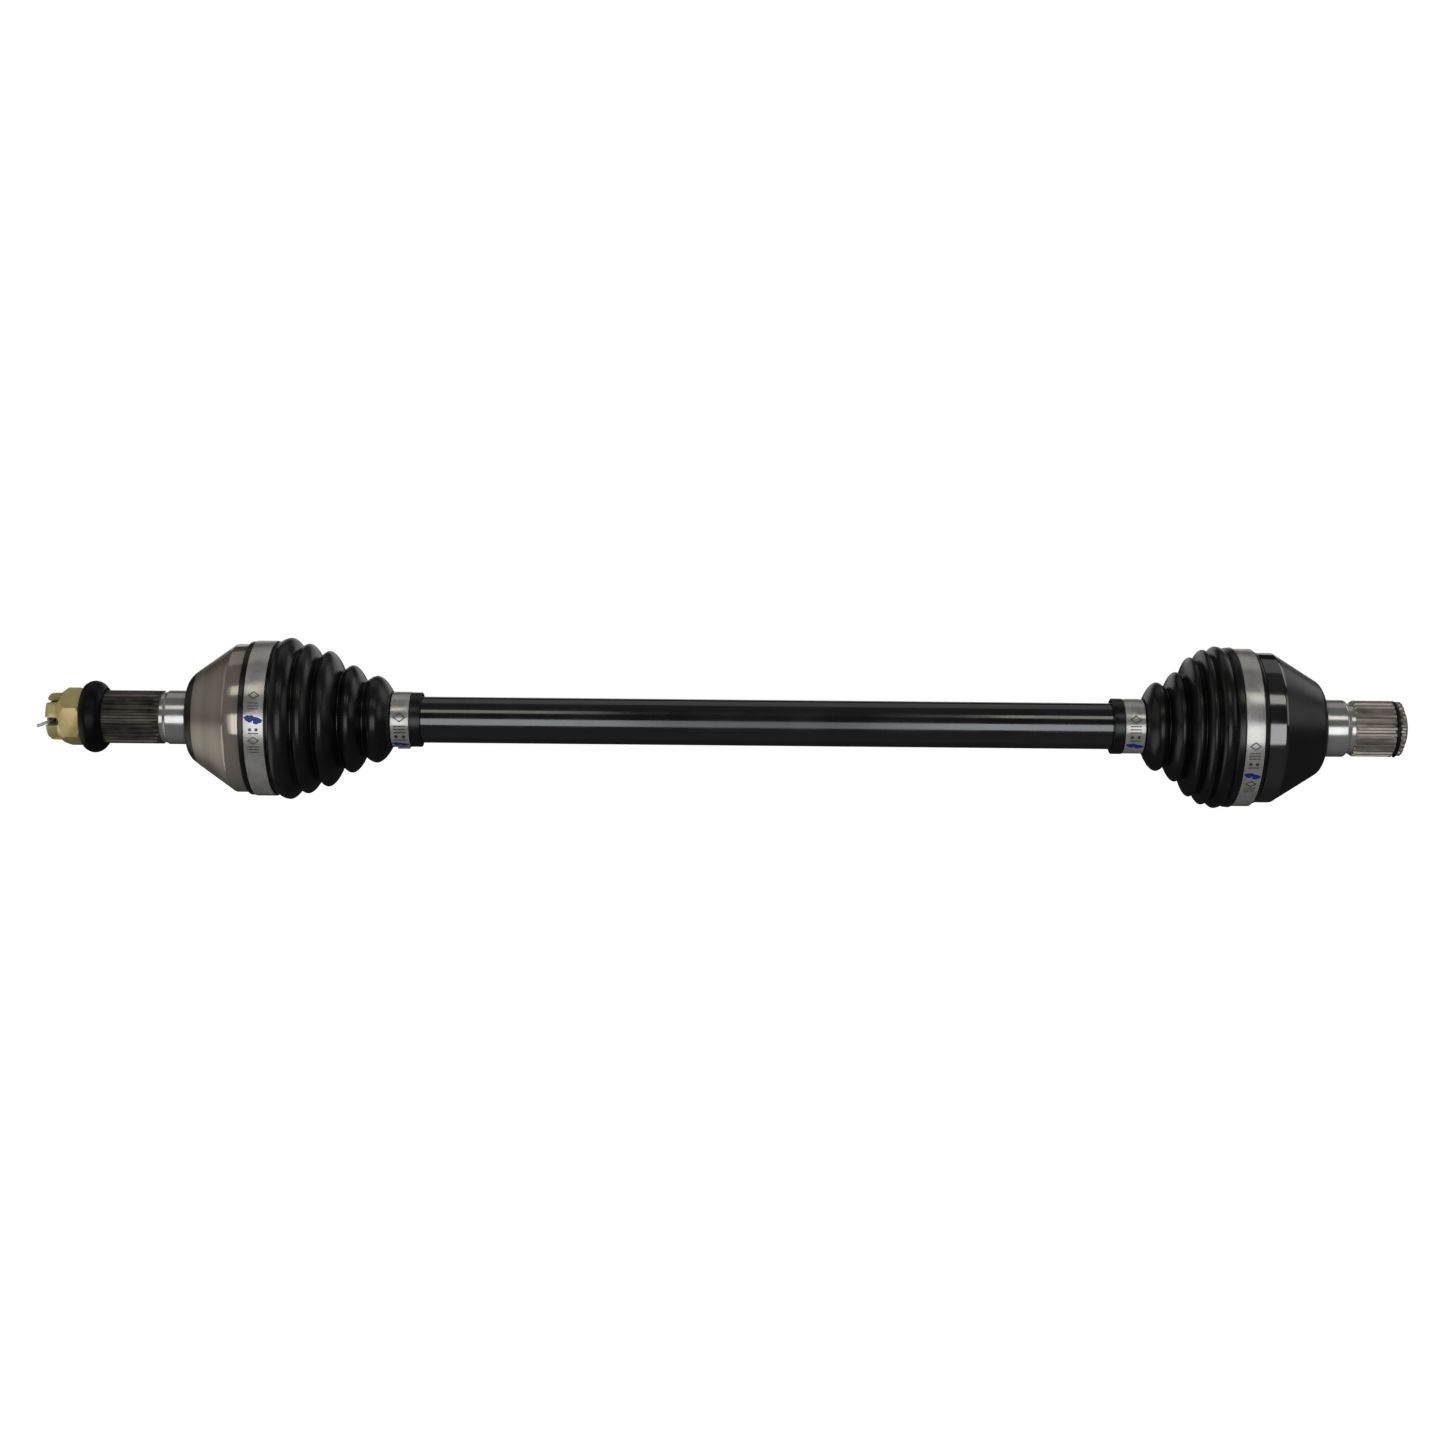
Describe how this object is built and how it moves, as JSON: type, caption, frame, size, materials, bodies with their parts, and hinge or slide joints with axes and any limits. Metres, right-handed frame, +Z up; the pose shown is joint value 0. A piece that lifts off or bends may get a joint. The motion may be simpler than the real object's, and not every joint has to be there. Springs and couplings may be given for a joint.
{
  "type": "cv axle",
  "caption": "Drive shaft with a ball-type fixed joint at the wheel end, a plunging ball joint at the gearbox end, ridged rubber boots, band clamps and a slotted hub nut",
  "frame": {"origin": "middle of the axle's length, on its axis", "axes": "+X along the axle from the wheel end to the gearbox end, +Z up, +Y across"},
  "size_m": [0.768, 0.0914, 0.0914],
  "materials": {
    "black_paint": "gloss black paint",
    "turned_steel": "bare turned and induction-hardened steel, brown-grey, fine lathe lines",
    "race_steel": "ground bearing steel, greased",
    "ball_steel": "polished bearing balls",
    "spring_steel": "black phosphated spring steel",
    "stainless": null,
    "yellow_zinc": "yellow zinc plate with a faint green and pink tint",
    "bright_wire": "bright zinc-plated wire",
    "black_washer": "satin black phosphate",
    "rubber": "satin black moulded rubber"
  },
  "bodies": {
    "bar": {"axle_bar": "black_paint", "outer_inner_race": "race_steel", "outer_race_circlip": "spring_steel", "inner_inner_race": "race_steel", "inner_race_circlip": "spring_steel", "outer_boot": "rubber", "outer_boot_small_clamp": "stainless", "inner_boot_small_clamp": "stainless"},
    "outer_ball_near": {"outer_ball_1": "ball_steel"},
    "outer_cage": {"outer_cage": "race_steel", "outer_ball_2": "ball_steel", "outer_ball_3": "ball_steel", "outer_ball_5": "ball_steel", "outer_ball_6": "ball_steel"},
    "outer_ball_far": {"outer_ball_4": "ball_steel"},
    "inner_ball_near": {"inner_ball_1": "ball_steel"},
    "inner_cage": {"inner_cage": "race_steel", "inner_ball_2": "ball_steel", "inner_ball_3": "ball_steel", "inner_ball_5": "ball_steel", "inner_ball_6": "ball_steel"},
    "inner_ball_far": {"inner_ball_4": "ball_steel"},
    "outer_housing": {"outer_housing": "turned_steel", "outer_boot_large_clamp": "stainless", "castle_nut": "yellow_zinc", "hub_washer": "black_washer", "cotter_pin": "bright_wire"},
    "inner_boot": {"inner_boot": "rubber"},
    "inner_housing": {"inner_housing": "black_paint", "inner_retaining_ring": "spring_steel", "inner_boot_large_clamp": "stainless", "inner_stub_circlip": "spring_steel"}
  },
  "joints": [
    {"name": "outer_sway", "type": "hinge", "parent": "bar", "child": "outer_ball_near", "pos_m": [-0.2671, 0, 0], "axis": [0, 0, 1], "range_deg": [-10, 10]},
    {"name": "outer_dip", "type": "hinge", "parent": "outer_ball_near", "child": "outer_cage", "pos_m": [-0.2671, 0, 0], "axis": [0, 1, 0], "range_deg": [-20, 20], "deforming": ["outer_boot"]},
    {"name": "outer_dip_housing", "type": "hinge", "parent": "outer_cage", "child": "outer_ball_far", "pos_m": [-0.2671, 0, 0], "axis": [0, 1, 0], "range_deg": [-20, 20]},
    {"name": "outer_sway_housing", "type": "hinge", "parent": "outer_ball_far", "child": "outer_housing", "pos_m": [-0.2671, 0, 0], "axis": [0, 0, 1], "range_deg": [-10, 10]},
    {"name": "inner_sway", "type": "hinge", "parent": "bar", "child": "inner_ball_near", "pos_m": [0.301, 0, 0], "axis": [0, 0, 1], "range_deg": [-6, 6]},
    {"name": "inner_dip", "type": "hinge", "parent": "inner_ball_near", "child": "inner_cage", "pos_m": [0.301, 0, 0], "axis": [0, 1, 0], "range_deg": [-10, 10]},
    {"name": "inner_dip_housing", "type": "hinge", "parent": "inner_cage", "child": "inner_ball_far", "pos_m": [0.301, 0, 0], "axis": [0, 1, 0], "range_deg": [-10, 10]},
    {"name": "inner_sway_housing", "type": "hinge", "parent": "inner_ball_far", "child": "inner_boot", "pos_m": [0.301, 0, 0], "axis": [0, 0, 1], "range_deg": [-6, 6]},
    {"name": "inner_plunge", "type": "slide", "parent": "inner_boot", "child": "inner_housing", "axis": [1, 0, 0], "range_m": [-0.008, 0.008], "deforming": ["inner_boot"]}
  ],
  "couplings": [
    {"joint": "outer_dip_housing", "follows": "outer_dip", "ratio": 1},
    {"joint": "outer_sway_housing", "follows": "outer_sway", "ratio": 1},
    {"joint": "inner_dip_housing", "follows": "inner_dip", "ratio": 1},
    {"joint": "inner_sway_housing", "follows": "inner_sway", "ratio": 1}
  ]
}
